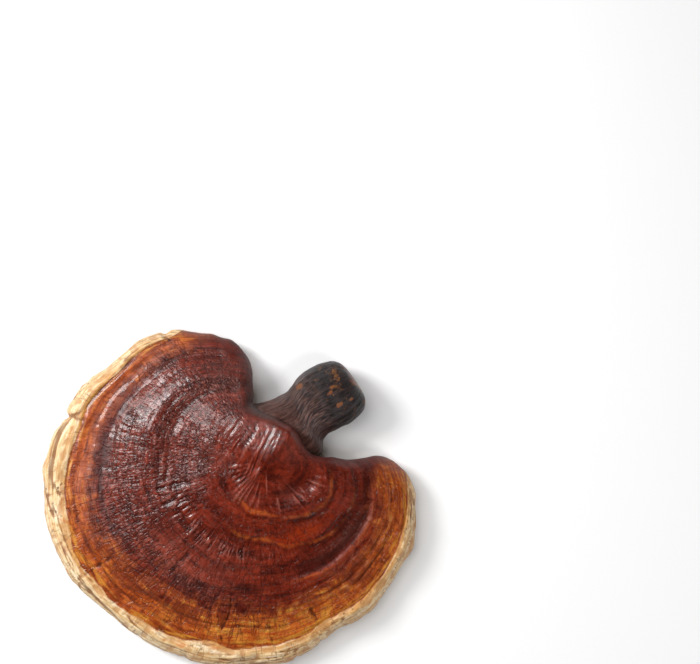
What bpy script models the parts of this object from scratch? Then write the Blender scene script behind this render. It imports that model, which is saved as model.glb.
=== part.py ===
"""Reishi mushroom, as picked: a kidney-shaped woody cap on a short side stem, lying on its pore surface.

The cap grew outwards from one point beside the stem, so every place on it has a bearing, counted
anticlockwise from the stem's direction, and a growth, 0 at that point and 1 at the margin.
Frame: +Z up, the stem runs towards +Y, the front margin faces -Y. Lengths are in millimetres until
they go into a mesh, which is in metres.
"""

import math

import bmesh
import bpy
from mathutils import Vector

MM = 0.001
JOINT_GAP = 0.3  # the stem's root stands this far off the cap all round
EDGE_STEPS = 2  # mesh columns for each point of the cap's edge

# Where the cap's growth began, and its reach in mm and its pace at each bearing. Growth is
# (distance / reach) ** pace, because the rings crowd together beside the stem.
GROWTH_START = (0.0, 18.7)
REACH = {
    0: 44, 60: 47, 80: 53, 100: 61, 120: 71, 140: 76, 160: 78.5,
    180: 76, 200: 74, 220: 69.5, 240: 66, 260: 62, 280: 57.5, 300: 52, 320: 47,
}
PACE = {0: 1.7, 45: 1.55, 75: 1.5, 100: 1.3, 135: 1.0, 180: 1.05, 225: 1.12, 270: 1.4, 300: 1.7}

# The cap's edge, anticlockwise from the notch on the stem's left: x, y and height of its widest line.
# It lies low along the margin, climbs the two notches and passes over the stem as a lip.
CAP_EDGE = [
    (-16.8, 28.6, 13.5), (-22.4, 34.4, 8.8), (-28.4, 37.3, 7.0), (-35.8, 38.4, 6.0), (-43.0, 35.6, 5.4),
    (-50.0, 31.0, 5.0), (-55.8, 25.2, 4.8), (-59.0, 16.5, 4.6), (-60.6, 5.5, 4.6), (-62.0, -6.0, 4.6),
    (-61.2, -15.0, 4.6), (-58.8, -24.0, 4.6), (-54.6, -34.0, 4.6), (-47.3, -41.6, 4.6), (-38.8, -49.0, 4.6),
    (-29.8, -54.0, 4.5), (-20.0, -57.1, 4.5), (-11.9, -57.9, 4.4), (-3.5, -56.9, 4.4), (4.5, -56.6, 4.4),
    (12.0, -54.7, 4.4), (19.5, -53.6, 4.4), (27.5, -49.4, 4.4), (36.4, -42.9, 4.4), (44.2, -34.2, 4.5),
    (50.5, -27.4, 4.5), (55.0, -19.8, 4.6), (56.9, -12.0, 4.6), (57.0, -6.0, 4.6), (60.2, 0.6, 4.7),
    (60.9, 8.5, 4.7), (59.3, 17.0, 4.7), (57.2, 24.0, 4.8), (55.7, 32.0, 4.8), (51.0, 38.2, 5.0),
    (45.0, 43.8, 5.2), (37.6, 47.8, 5.6), (29.6, 47.4, 6.4), (23.6, 44.0, 8.0), (19.8, 38.6, 11.0),
    (15.4, 35.2, 15.5), (11.0, 32.8, 19.0), (5.6, 32.0, 21.0), (-1.8, 33.2, 21.8), (-8.6, 32.4, 20.6),
    (-13.6, 30.2, 17.5),
]
HUB = (4.0, 5.0)  # every point of the edge can be seen from here, so the cap's spokes start here
MARGIN_HEIGHT = 4.5
LIP_HEIGHT = 21.8

# The plain dome: growth and height of the upper surface.
DOME = [(0.0, 21.2), (0.15, 20.6), (0.3, 19.2), (0.5, 16.2), (0.7, 13.2), (0.85, 10.8), (0.95, 9.2), (1.0, 8.4)]

# What stands proud of the dome or lies below it, as rounded swells: growth, bearing, rise, and how
# far each spreads in growth and in degrees.
SWELLS = [
    (0.28, 105, 1.8, 0.10, 42),  # left shoulder
    (0.48, 100, -1.3, 0.055, 45),  # trough outside the shoulder
    (0.61, 110, 1.2, 0.08, 45),  # left outer ring
    (0.24, 250, 1.5, 0.07, 50),  # first terrace on the right
    (0.38, 245, 0.8, 0.05, 50),  # second terrace
    (0.51, 280, -2.6, 0.065, 42),  # deep trough inside the right lobe
    (0.68, 285, 0.9, 0.09, 40),  # right lobe
    (0.60, 185, 0.8, 0.12, 40),  # front
]
# The knob above the stem, where the cap is thickest: its middle, its rise and its spread in x and y.
KNOB_CENTRE = (-0.6, 26.5)
KNOB_RISE = 5.8
KNOB_SPREAD = (15.5, 12.5)

# Rows of the cap's mesh. Top rows are shares of the way from the hub to where the edge rounds over.
TOP_ROWS = [0.14, 0.28, 0.41, 0.53, 0.64, 0.74, 0.83, 0.91]
ROUND_OVER = 4.6  # width of the rounded edge
ROUND_ROWS = [1.0, 0.45, 0.14, 0.0]  # how far in from the edge, as shares of that width
# Rows under the edge: how far in, and height. The second pair is for the wall behind the stem's root.
UNDER_ROWS = [
    ((0.7, 2.3), (1.9, 19.6)),
    ((2.0, 0.7), (3.6, 18.4)),
    ((3.6, 0.0), (4.2, 9.5)),
    ((11.5, 0.0), (4.6, 1.0)),
    ((17.0, 0.9), (10.0, 0.9)),
]
PORE_ROWS = [0.45, 0.2]  # shares of the way out from the hub, across the slightly hollow underside
PORE_HOLLOW = 1.6

# The stem leans towards +X from where it leaves the cap. Its cross-sections from its root, under the
# cap's lip, to its cut end: distance along, middle across, half width, middle height, half height.
STEM_FOOT = (-2.2, 37.6)
STEM_LEAN = 11.0  # degrees
STEM_SECTIONS = [
    (-11.0, 1.2, 12.4, 9.7, 8.3),
    (-6.5, 1.2, 12.4, 9.7, 8.6),
    (-2.5, 0.6, 11.6, 9.7, 8.8),
    (1.0, -0.3, 10.3, 9.6, 8.7),
    (5.5, -0.8, 10.9, 9.5, 8.7),
    (10.5, -0.5, 11.3, 9.4, 8.8),
    (15.0, -0.2, 10.9, 9.4, 8.6),
    (18.2, 0.0, 9.6, 9.4, 7.8),
    (20.2, 0.2, 7.9, 9.4, 6.5),
    (21.0, 0.3, 6.3, 9.4, 5.2),
]
STEM_SIDES = 32
STEM_SQUARENESS = 2.3  # 2 is an ellipse, and more is fuller at its corners


def at_bearing(table, bearing):
    """The value of a {bearing: value} table, eased between its entries and joined round the circle."""
    stations = sorted(table)
    ends = zip(stations, stations[1:] + [stations[0] + 360], strict=True)
    for low, high in ends:
        if low <= bearing < high:
            share = (bearing - low) / (high - low)
            ease = share * share * (3 - 2 * share)
            return table[low] + (table[high % 360] - table[low]) * ease
    return table[stations[0]]


def growth_at(x, y):
    """(growth, bearing) of a place on the cap."""
    across, along = x - GROWTH_START[0], y - GROWTH_START[1]
    bearing = math.degrees(math.atan2(-across, along)) % 360
    share = math.hypot(across, along) / at_bearing(REACH, bearing)
    return share ** at_bearing(PACE, bearing), bearing


def along_profile(profile, value):
    """Height at this value on a line drawn straight from each (value, height) point to the next."""
    if value >= profile[-1][0]:
        return profile[-1][1]
    for (start, low), (end, high) in zip(profile, profile[1:], strict=False):
        if value < end:
            return low + (high - low) * (value - start) / (end - start)
    return profile[-1][1]


def top_height(x, y):
    """Height of the upper surface over a place on the cap: the dome, its swells and the knob."""
    growth, bearing = growth_at(x, y)
    height = along_profile(DOME, growth)
    for ring, side, rise, width, spread in SWELLS:
        off_side = (bearing - side + 180) % 360 - 180
        height += rise * math.exp(-(((growth - ring) / width) ** 2) - (off_side / spread) ** 2)
    across = (x - KNOB_CENTRE[0]) / KNOB_SPREAD[0]
    along = (y - KNOB_CENTRE[1]) / KNOB_SPREAD[1]
    return height + KNOB_RISE * math.exp(-(across**2) - along**2)


def smooth_loop(points, steps):
    """A closed curve through all the points (Catmull-Rom), with this many steps between neighbours."""
    loop = []
    count = len(points)
    for i in range(count):
        before, start, end, after = (Vector(points[(i + k) % count]) for k in (-1, 0, 1, 2))
        for step in range(steps):
            t = step / steps
            bend = (2 * before - 5 * start + 4 * end - after) * t * t
            twist = (3 * start - before - 3 * end + after) * t**3
            loop.append(start + ((end - before) * t + bend + twist) / 2)
    return loop


def inwards(edge_point, distance):
    """The point this far in from the edge, on its spoke to the hub."""
    spoke = Vector(HUB) - edge_point.xy
    return edge_point.xy + spoke.normalized() * distance


def blend(low, high, share):
    """The number this share of the way from low to high."""
    return low + (high - low) * share


def cap_rows():
    """Every row of the cap as a closed list of points, from around the top's middle to the underside's."""
    edge = smooth_loop(CAP_EDGE, EDGE_STEPS)
    shoulder = [inwards(point, ROUND_OVER) for point in edge]
    rows = []
    for share in TOP_ROWS:
        places = [Vector(HUB).lerp(place, share) for place in shoulder]
        rows.append([Vector((*place, top_height(*place))) for place in places])
    for share in ROUND_ROWS:
        lift = math.sqrt(1 - (1 - share) ** 2)  # a quarter ellipse from the shoulder to the edge
        row = []
        for point, inner in zip(edge, shoulder, strict=True):
            place = inwards(point, ROUND_OVER * share)
            row.append(Vector((*place, blend(point.z, top_height(*inner), lift))))
        rows.append(row)
    for margin, wall in UNDER_ROWS:
        row = []
        for point in edge:
            back = min(1, max(0, (point.z - MARGIN_HEIGHT) / (LIP_HEIGHT - MARGIN_HEIGHT)))
            place = inwards(point, blend(margin[0], wall[0], back))
            row.append(Vector((*place, blend(margin[1], wall[1], back))))
        rows.append(row)
    for share in PORE_ROWS:
        places = [Vector(HUB).lerp(point.xy, share) for point in edge]
        rows.append([Vector((*place, PORE_HOLLOW)) for place in places])
    return rows


def superellipse(half_width, half_height, sides):
    """Points round a rounded section, anticlockwise from its right side."""
    power = 2 / STEM_SQUARENESS
    section = []
    for side in range(sides):
        turn = math.tau * side / sides
        across, up = math.cos(turn), math.sin(turn)
        x = half_width * math.copysign(abs(across) ** power, across)
        z = half_height * math.copysign(abs(up) ** power, up)
        section.append((x, z))
    return section


def stem_rows(grown_by=0.0):
    """The stem's cross-sections as closed lists of points, all of it made larger by grown_by."""
    lean = math.radians(STEM_LEAN)
    along = Vector((math.sin(lean), math.cos(lean), 0))
    across = Vector((math.cos(lean), -math.sin(lean), 0))
    rows = []
    for i, (distance, shift, half_width, middle_z, half_height) in enumerate(STEM_SECTIONS):
        section = superellipse(half_width + grown_by, half_height + grown_by, STEM_SIDES)
        if i == 0:
            distance -= grown_by
        middle = Vector((*STEM_FOOT, middle_z)) + along * distance + across * shift
        rows.append([middle + across * x + Vector((0, 0, z)) for x, z in section])
    return rows


def lofted(name, rows, middles=(None, None)):
    """One closed mesh object through rows of points, its ends filled flat or drawn to a middle point."""
    mesh_data = bmesh.new()
    loops = [[mesh_data.verts.new(point * MM) for point in row] for row in rows]
    rings = []
    for loop in loops:
        pairs = zip(loop, loop[1:] + loop[:1], strict=True)
        rings.append([mesh_data.edges.new(pair) for pair in pairs])
    for first, second in zip(rings, rings[1:], strict=False):
        bmesh.ops.bridge_loops(mesh_data, edges=first + second)
    for loop, middle in zip((loops[0], loops[-1]), middles, strict=True):
        if middle is None:
            mesh_data.faces.new(loop)
            continue
        centre = mesh_data.verts.new(middle * MM)
        for start, end in zip(loop, loop[1:] + loop[:1], strict=True):
            mesh_data.faces.new((start, end, centre))
    bmesh.ops.triangulate(mesh_data, faces=mesh_data.faces)
    bmesh.ops.recalc_face_normals(mesh_data, faces=mesh_data.faces)
    mesh = bpy.data.meshes.new(name)
    mesh_data.to_mesh(mesh)
    mesh_data.free()
    mesh.shade_smooth()
    piece = bpy.data.objects.new(name, mesh)
    bpy.context.scene.collection.objects.link(piece)
    return piece


def give_material(piece, name, colour, roughness, coat):
    """One Principled material, with the clear lacquer that the mushroom itself makes."""
    material = bpy.data.materials.new(name)
    material.use_nodes = True
    shader = material.node_tree.nodes["Principled BSDF"]
    shader.inputs["Base Color"].default_value = (*colour, 1)
    shader.inputs["Roughness"].default_value = roughness
    shader.inputs["Metallic"].default_value = 0
    shader.inputs["Coat Weight"].default_value = coat
    piece.data.materials.append(material)


def make_cap():
    top_middle = Vector((*HUB, top_height(*HUB)))
    pore_middle = Vector((*HUB, PORE_HOLLOW))
    cap = lofted("cap", cap_rows(), (top_middle, pore_middle))
    give_material(cap, "lacquered_crust", (0.17, 0.035, 0.015), 0.32, 0.6)
    return cap


def make_stem():
    stem = lofted("stem", stem_rows())
    give_material(stem, "dark_stem_crust", (0.045, 0.03, 0.025), 0.5, 0.2)
    return stem


def seat_stem(cap):
    """Cuts the seat for the stem's root under the cap's lip."""
    seat = lofted("stem_seat_cutter", stem_rows(JOINT_GAP))
    seat.hide_render = True
    seat.display_type = "WIRE"
    cut = cap.modifiers.new("stem_seat", "BOOLEAN")
    cut.operation = "DIFFERENCE"
    cut.solver = "EXACT"
    cut.object = seat
    return seat


def centre_on_footprint(pieces, cutters):
    """Moves it all so that the middle of the pieces' footprint is the origin and they stand on z = 0."""
    points = [vertex.co for piece in pieces for vertex in piece.data.vertices]
    low = Vector([min(point[axis] for point in points) for axis in range(3)])
    high = Vector([max(point[axis] for point in points) for axis in range(3)])
    middle = (low + high) / 2
    for piece in pieces + cutters:
        piece.location = (-middle.x, -middle.y, -low.z)


def main():
    for old in list(bpy.data.objects):
        bpy.data.objects.remove(old)
    cap = make_cap()
    stem = make_stem()
    seat = seat_stem(cap)
    centre_on_footprint([cap, stem], [seat])


main()
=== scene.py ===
import math

import bpy
import numpy as np
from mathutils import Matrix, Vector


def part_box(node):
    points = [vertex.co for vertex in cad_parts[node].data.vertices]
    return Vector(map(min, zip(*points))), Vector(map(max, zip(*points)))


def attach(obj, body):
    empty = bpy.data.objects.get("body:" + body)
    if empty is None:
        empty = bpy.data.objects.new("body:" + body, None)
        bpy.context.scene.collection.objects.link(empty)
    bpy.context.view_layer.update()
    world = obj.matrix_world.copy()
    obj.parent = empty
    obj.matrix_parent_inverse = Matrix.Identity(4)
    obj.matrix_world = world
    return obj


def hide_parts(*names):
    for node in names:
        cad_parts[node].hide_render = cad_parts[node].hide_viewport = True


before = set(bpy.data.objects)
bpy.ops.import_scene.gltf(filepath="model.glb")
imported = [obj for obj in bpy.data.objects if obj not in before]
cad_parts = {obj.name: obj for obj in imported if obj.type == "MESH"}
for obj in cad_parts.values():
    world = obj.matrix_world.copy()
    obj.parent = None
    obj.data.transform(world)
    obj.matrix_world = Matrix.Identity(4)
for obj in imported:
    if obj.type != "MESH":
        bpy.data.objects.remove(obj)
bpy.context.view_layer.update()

# A reishi mushroom, as picked: a ringed, lacquered cap lying on its pore surface, and its side stem.
# The cap grew outwards from one point beside the stem, so its shape and its colours are both worked
# out from bearing (degrees anticlockwise from the stem) and growth (0 at that point, 1 at the margin).
# Shapes are in millimetres until they go into a mesh.
mm = 0.001


# numbers

def ease(x, low, high):  # smooth step: 3s² - 2s³, where s runs from 0 at low to 1 at high
    s = np.clip((x - low) / (high - low), 0, 1)
    return s * s * (3 - 2 * s)


def bell(x, middle, width):  # e to the power of minus ((x - middle) / width)²
    return np.exp(-(((x - middle) / width) ** 2))


def apart(bearing, middle):  # signed degrees from one bearing to another, the short way round
    return (bearing - middle + 180) % 360 - 180


def within(bearing, start, end, soft):  # 1 between two bearings, easing to 0 over "soft" degrees
    half = ((end - start) % 360) / 2
    return 1 - ease(np.abs(apart(bearing, start + half)), half - soft / 2, half + soft / 2)


def aroundCap(table, bearing, soften=9):
    # straight lines between a {bearing: value} table's entries, joined round the circle, then
    # averaged with cos² weights over "soften" degrees each way
    whole = np.arange(360)
    stations = sorted(table)
    line = np.interp(whole, stations, [table[b] for b in stations], period=360)
    weights = np.cos(np.linspace(-math.pi / 2, math.pi / 2, 2 * soften + 1)) ** 2
    joined = np.concatenate([line[-soften:], line, line[:soften]])
    return np.interp(bearing, whole, np.convolve(joined, weights / weights.sum(), "valid"), period=360)


def along(points, x, soften=0.03):
    # straight lines between (x, value) points, averaged over "soften" each way
    xs, values = zip(*points, strict=True)
    reach = np.linspace(-soften, soften, 7)
    return np.mean([np.interp(x + step, xs, values) for step in reach], axis=0)


def grain(u, v, wrap, seed):
    # lattice noise from -1 to 1: a random value at each whole (u, v), blended between them by
    # 6s⁵ - 15s⁴ + 10s³, and repeating in u after "wrap" cells
    v = v - math.floor(v.min())
    values = np.random.default_rng(seed).uniform(-1, 1, (wrap, int(v.max()) + 2))
    column, row = np.floor(u).astype(int), np.floor(v).astype(int)
    s, t = u - column, v - row
    s, t = s**3 * (s * (s * 6 - 15) + 10), t**3 * (t * (t * 6 - 15) + 10)
    left, right = column % wrap, (column + 1) % wrap
    near = values[left, row] * (1 - s) + values[right, row] * s
    far = values[left, row + 1] * (1 - s) + values[right, row + 1] * s
    return near * (1 - t) + far * t


def layers(u, v, wrap, seed, count=3):  # grain added to itself at twice the pitch and half the height
    total = 0
    for i in range(count):
        total = total + grain(u * 2**i, v * 2**i, wrap * 2**i, seed + i) / 2**i
    return total / 1.6


# the cap's growth

growthShape = dict(
    start=(0.0, 18.75),  # where the growth began
    # how far the margin is from there at each bearing, as if the notches weren't pinched in
    reach={
        0: 42, 60: 44, 70: 48, 80: 53.3, 90: 58.7, 100: 62, 110: 66.8, 120: 71, 130: 74.8, 140: 76.8,
        150: 78.5, 160: 78.9, 170: 78.4, 180: 76.2, 190: 74.9, 200: 74.1, 210: 72.3, 220: 69.4,
        230: 68.3, 240: 65.8, 250: 63.2, 260: 62, 270: 59.4, 280: 57.7, 290: 55.4, 300: 52, 310: 48, 325: 44,
    },
    # rings crowd together beside the stem: growth is (distance / reach) to this power
    pace={0: 1.7, 50: 1.5, 75: 1.5, 100: 1.3, 135: 1.0, 180: 1.05, 225: 1.12, 270: 1.4, 300: 1.7, 330: 1.75},
    wander=0.008,  # how far a ring strays from its course
    calm=14.0,  # patterns by bearing close up within this many millimetres of the start
    fanFrom=(-25.0, 80.0),  # on the knob's left flank the wrinkles fan out from far beyond the stem
    fanSide=(4.0, -2.0),  # x over which that flank begins
    fanTo=(0.12, 0.3),  # growth over which it gives way to wrinkles that point away from the start
)


def seenFrom(x, y, middle):  # bearing and distance from a middle point
    return np.degrees(np.arctan2(middle[0] - x, y - middle[1])) % 360, np.hypot(x - middle[0], y - middle[1])


def growthAt(x, y):
    # growth is (distance from the start / reach) ** pace, plus a little wandering
    bearing, distance = seenFrom(x, y, growthShape["start"])
    pace = aroundCap(growthShape["pace"], bearing)
    growth = (distance / aroundCap(growthShape["reach"], bearing)) ** pace
    stray = layers(bearing / 12, growth * 5, 30, 11) * ease(growth, 0.05, 0.3)
    return growth + growthShape["wander"] * stray, bearing, distance


def fanShare(x, growth):
    return ease(x, *growthShape["fanSide"]) * (1 - ease(growth, *growthShape["fanTo"]))


# the cap's upper surface

capRelief = dict(
    # the plain dome, growth and height: all round, and the stepped shape of its left side
    dome=[(0, 21.2), (0.15, 20.4), (0.3, 18.9), (0.5, 16.0), (0.7, 13.2), (0.85, 11.2), (0.93, 10.2),
          (1, 9.2), (1.2, 6)],
    leftDome=[(0, 21.2), (0.14, 20.9), (0.23, 20.1), (0.38, 16.1), (0.42, 15.4), (0.52, 15.7), (0.57, 14.6),
              (0.69, 11.4), (0.73, 10.7), (0.78, 10.4), (0.91, 9.9), (1, 8.9), (1.2, 6)],
    leftSpan=(62, 146),
    # broad swells: growth, bearing, rise, spread in growth, spread in degrees
    swells=[
        (0.125, 283, -1.9, 0.045, 30),  # valley between the knob and the first ring
        (0.235, 278, 0.8, 0.06, 34),
        (0.24, 230, 0.9, 0.07, 30),
        (0.5, 275, -1.0, 0.08, 38),  # deep trough inside the right lobe
        (0.68, 285, 0.5, 0.1, 40),
        (0.58, 185, 0.6, 0.12, 35),
    ],
    knob=(0.4, 25.5, 3.3, 16.0, 15.0),  # its middle's x and y, rise, and spread in x and y
    # the knob's crest, a tent along a line: x by y, its rise by y, and how wide its two sides are
    crest=dict(at=[(2, 3.2), (10, 1.2), (17, -0.4), (22, 0.4), (28, -0.6), (33, -1.7)],
               rise=[(2, 0.0), (8, 0.5), (14, 1.2), (22, 2.4), (30, 3.2), (34, 3.0)], left=16.0, right=3.5),
    # rings that end in a step down: growth by bearing, from and to bearing, drop, half width, glow
    steps=[
        ({180: 0.2, 195: 0.205, 210: 0.215, 225: 0.222, 240: 0.235, 255: 0.255, 270: 0.275,
         285: 0.275, 300: 0.25}, (184, 308), 0.9, 0.022, 0.8),
        ({190: 0.33, 210: 0.335, 225: 0.355, 240: 0.38, 250: 0.4, 262: 0.425, 270: 0.445,
         282: 0.43, 300: 0.42}, (192, 296), 0.8, 0.022, 0.8),
        ({60: 0.42, 75: 0.42, 90: 0.415, 120: 0.395, 150: 0.39}, (60, 150), 0.35, 0.01, 0),
        ({80: 0.445, 110: 0.43, 150: 0.425}, (84, 150), 0.3, 0.008, 0),
        ({80: 0.475, 110: 0.465, 150: 0.46}, (84, 150), 0.3, 0.008, 0),
        ({80: 0.5, 110: 0.495, 150: 0.49}, (84, 140), 0.25, 0.008, 0),
        ({160: 0.63, 180: 0.635, 195: 0.6, 210: 0.605, 225: 0.635, 240: 0.65, 250: 0.67,
         270: 0.7, 290: 0.71}, (155, 292), 0.35, 0.009, 0.3),
        ({80: 0.7, 110: 0.695, 150: 0.69}, (84, 156), 0.2, 0.01, 0.35),
        ({80: 0.27, 110: 0.265, 145: 0.26}, (90, 150), 0.2, 0.008, 0),
        ({80: 0.79, 110: 0.79, 170: 0.785}, (104, 176), 0.25, 0.01, 0),
        ({150: 0.51, 200: 0.5, 240: 0.52}, (150, 236), 0.15, 0.012, 0.1),
        ({150: 0.7, 180: 0.69, 210: 0.68, 240: 0.72}, (150, 244), 0.2, 0.008, 0.2),
        ({220: 0.7, 250: 0.735, 280: 0.77, 310: 0.79}, (222, 308), 0.25, 0.007, 0.5),
        ({230: 0.8, 260: 0.82, 290: 0.84, 310: 0.85}, (232, 310), 0.2, 0.006, 0.5),
        ({236: 0.6, 262: 0.63, 290: 0.64, 306: 0.63}, (238, 306), 0.15, 0.006, 0.4),
    ],
    # one ring rises instead, round the far side of the trough
    rise=({235: 0.555, 255: 0.565, 270: 0.575, 285: 0.565, 300: 0.53}, (236, 306), 0.35, 0.01),
    fade=0.075,  # growth over which a step's effect dies away
    # wrinkles run in bands: how often round the cap, how long in mm, from and to distance, noise seed
    folds=[(56, 6, -10, 18, 20), (110, 6, 8, 34, 21), (190, 6, 24, 60, 22), (260, 5, 50, 95, 23)],
    # where wrinkles, and fine rings, are deeper: how many mm, growth, its spread, from and to bearing
    wreaths=[(0.26, 0.41, 0.05, 150, 235), (0.05, 0.32, 0.09, 80, 170), (0.03, 0.58, 0.08, 80, 165),
             (0.2, 0.16, 0.05, 250, 308), (0.1, 0.14, 0.08, 20, 250)],
    grooved=[(0.08, 0.44, 0.08, 60, 160), (0.05, 0.62, 0.1, 235, 310)],
)


def plainHeight(x, y, growth, bearing):
    # the dome, turning to its left shape on that side, plus a bell for each swell and for the knob
    left = within(bearing, *capRelief["leftSpan"], soft=44)
    height = along(capRelief["dome"], growth) * (1 - left)
    height = height + along(capRelief["leftDome"], growth, 0.02) * left
    for ring, side, rise, width, spread in capRelief["swells"]:
        height = height + rise * bell(growth, ring, width) * bell(apart(bearing, side), 0, spread)
    middleX, middleY, rise, spreadX, spreadY = capRelief["knob"]
    height = height + rise * bell(x, middleX, spreadX) * bell(y, middleY, spreadY)
    crest = capRelief["crest"]
    aside = x - along(crest["at"], y, 1.5)
    aside = np.where(aside < 0, -aside / crest["left"], aside / crest["right"])
    # the tent is e to the power of minus the distance aside, rounded off at the crest
    return height + along(crest["rise"], y, 1.5) * np.exp(0.07 - np.sqrt(aside**2 + 0.005))


def ringSteps(growth, bearing):
    # each step lifts the ring inside it by half its drop and lowers what is outside by the rest,
    # fading back by e to the power of minus (side / fade)²; glow lies on its brink, an orange that is partly
    # the ring's own colour and partly a painted highlight, and shade is painted shade below it
    height, glow, shade = np.zeros_like(growth), np.zeros_like(growth), np.zeros_like(growth)
    for i, (at, span, drop, width, shine) in enumerate(capRelief["steps"]):
        side = growth - aroundCap(at, bearing) + 0.006 * layers(bearing / 7, growth * 0 + i * 3, 51, 90 + i)
        strength = within(bearing, *span, soft=24)
        strength = strength * (0.75 + 0.45 * layers(bearing / 11, growth * 0 + i * 4, 32, 95 + i))
        height += strength * drop * (0.5 - ease(side, -width, width)) * bell(side, 0, capRelief["fade"])
        glow += strength * shine * bell(side, -0.012, 0.013)
        shade += strength * drop * bell(side, 0.012, 0.012)
    at, span, drop, width = capRelief["rise"]
    side = growth - aroundCap(at, bearing)
    strength = within(bearing, *span, soft=20)
    height += strength * drop * (ease(side, -width, width) - 0.5) * bell(side, 0, 0.07)
    # the rise's glow is a painted highlight on its brink, and its shade is painted shade down in the trough
    glow += strength * 0.8 * bell(side, 0.014, 0.008)
    shade += strength * 1.1 * bell(side, -0.04, 0.035)
    return height, glow, shade


# radial ridges (rise above 0) and cracks (below 0): bearing, from and to growth, rise, half width in mm
capSpokes = [
    (178, 0.03, 0.19, 0.4, 0.5), (184, 0.02, 0.21, 0.45, 0.5), (190, 0.04, 0.21, 0.45, 0.4),
    (196, 0.05, 0.18, 0.3, 0.4), (170, 0.04, 0.17, 0.35, 0.45), (162, 0.05, 0.18, 0.3, 0.5),
    (153, 0.05, 0.16, 0.3, 0.5), (144, 0.06, 0.17, 0.25, 0.5), (225, 0.03, 0.15, 0.2, 0.3),
    (257, 0.13, 0.2, 0.16, 0.4), (264, 0.12, 0.21, 0.2, 0.4), (270, 0.13, 0.2, 0.16, 0.35),
    (277, 0.12, 0.22, 0.2, 0.45), (284, 0.13, 0.21, 0.16, 0.35), (291, 0.12, 0.2, 0.2, 0.4),
    (298, 0.13, 0.19, 0.16, 0.35), (205, 0.06, 0.19, 0.2, 0.35), (213, 0.1, 0.19, 0.25, 0.3),
    (240, 0.12, 0.2, 0.2, 0.3), (183.5, 0.36, 0.66, -0.3, 1.1), (178, 0.38, 0.62, 0.3, 1.2),
    (210, 0.62, 0.9, -0.28, 0.45), (241.5, 0.72, 1.02, -0.35, 0.5), (270, 0.52, 0.95, -0.2, 0.4),
    (226, 0.72, 0.92, -0.2, 0.45), (197, 0.62, 0.82, -0.15, 0.45), (167, 0.76, 1, -0.3, 0.5),
    (157, 0.88, 1, -0.3, 0.5), (123, 0.875, 1.03, -0.8, 0.5), (84.5, 0.9, 1.03, -0.7, 0.5),
    (144, 0.88, 1, -0.4, 0.5), (103, 0.9, 1, -0.2, 0.4), (185, 0.9, 1, -0.25, 0.4),
    (250, 0.87, 1, -0.4, 0.7), (285, 0.88, 1, -0.2, 0.4), (150, 0.3, 0.55, -0.25, 0.8),
    (137, 0.45, 0.8, -0.15, 0.5), (98, 0.5, 0.8, -0.15, 0.5), (258, 0.42, 0.6, -0.12, 0.5),
    (174, 0.93, 1, -0.25, 0.4), (218, 0.92, 1, -0.3, 0.5), (233, 0.93, 1.02, -0.3, 0.5),
    (202, 0.94, 1.02, -0.3, 0.5), (112, 0.94, 1.02, -0.25, 0.5), (296, 0.92, 1, -0.2, 0.5),
]


def spokes(growth, bearing, distance):
    # a bell across each ridge or crack, easing in and out at its two ends; its course wavers, and a
    # crack is deeper in some stretches than in others
    height = np.zeros_like(growth)
    for i, (side, start, end, rise, halfWidth) in enumerate(capSpokes):
        waver = 1.2 * layers(growth * 16 + i * 5, growth * 0 + i, 997, 40) * ease(distance, 8, 40)
        across = np.radians(apart(bearing, side)) * distance + waver
        ends = ease(growth, start - 0.02, start + 0.04) * (1 - ease(growth, end - 0.03, end + 0.02))
        if rise < 0:
            ends = ends * (0.65 + 0.5 * grain(growth * 34 + i * 3, growth * 0 + i, 997, 41))
        height += rise * bell(across, 0, halfWidth) * ends
    return height


def folded(bearing, distance, pitch, length, seed):
    # 1 - 2|noise|, stretched along the fibres and bent a little: narrow crests with rounded troughs
    bend = 0.7 * grain(bearing / 6, distance / 6, 60, seed + 5)
    folds = 1 - np.abs(grain(bearing / 360 * pitch + bend, distance / length, pitch, seed)) * 2
    finer = grain(bearing / 360 * pitch * 2 + bend, distance / length * 1.7, pitch * 2, seed + 9)
    return folds + 0.5 * finer


def wrinkles(x, y, growth, bearing, distance):
    # folded noise at four pitches that follow the widening cap, and a fan of it on the knob's flank;
    # patches of it are strong or nearly smooth
    total = np.zeros_like(growth)
    for pitch, length, near, far, seed in capRelief["folds"]:
        share = ease(distance, near, near + 10) * (1 - ease(distance, far - 10, far))
        total += folded(bearing, distance, pitch, length, seed) * share
    fanBearing, fromFan = seenFrom(x, y, growthShape["fanFrom"])
    flankFolds = 0.35 * folded(fanBearing, fromFan, 320, 16, 24)
    flankFolds += 0.9 * folded(fanBearing, fromFan, 520, 12, 26)
    share = fanShare(x, growth)
    patches = 0.6 + 0.5 * layers(bearing / 10, distance / 9, 36, 31) * (1 - share)
    return (total * ease(distance, 2, 9) * (1 - share) + 1.5 * flankFolds * share) * patches


def arcs(table, growth, bearing, total):  # adds a bell in growth, between two bearings, for each row
    for depth, ring, width, start, end in table:
        total += depth * bell(growth, ring, width) * within(bearing, start, end, 20)
    return total


def wrinkleStrength(growth, bearing):
    # how deep the wrinkles are, in mm: a bell on the knob and one for each wreath, and little elsewhere
    strength = 0.03 + 0.03 * within(bearing, 70, 238, 30) + 0.1 * bell(growth, 0.04, 0.1)
    strength = arcs(capRelief["wreaths"], growth, bearing, strength)
    return strength * (1 - 0.6 * ease(growth, 0.76, 0.85))


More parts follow.
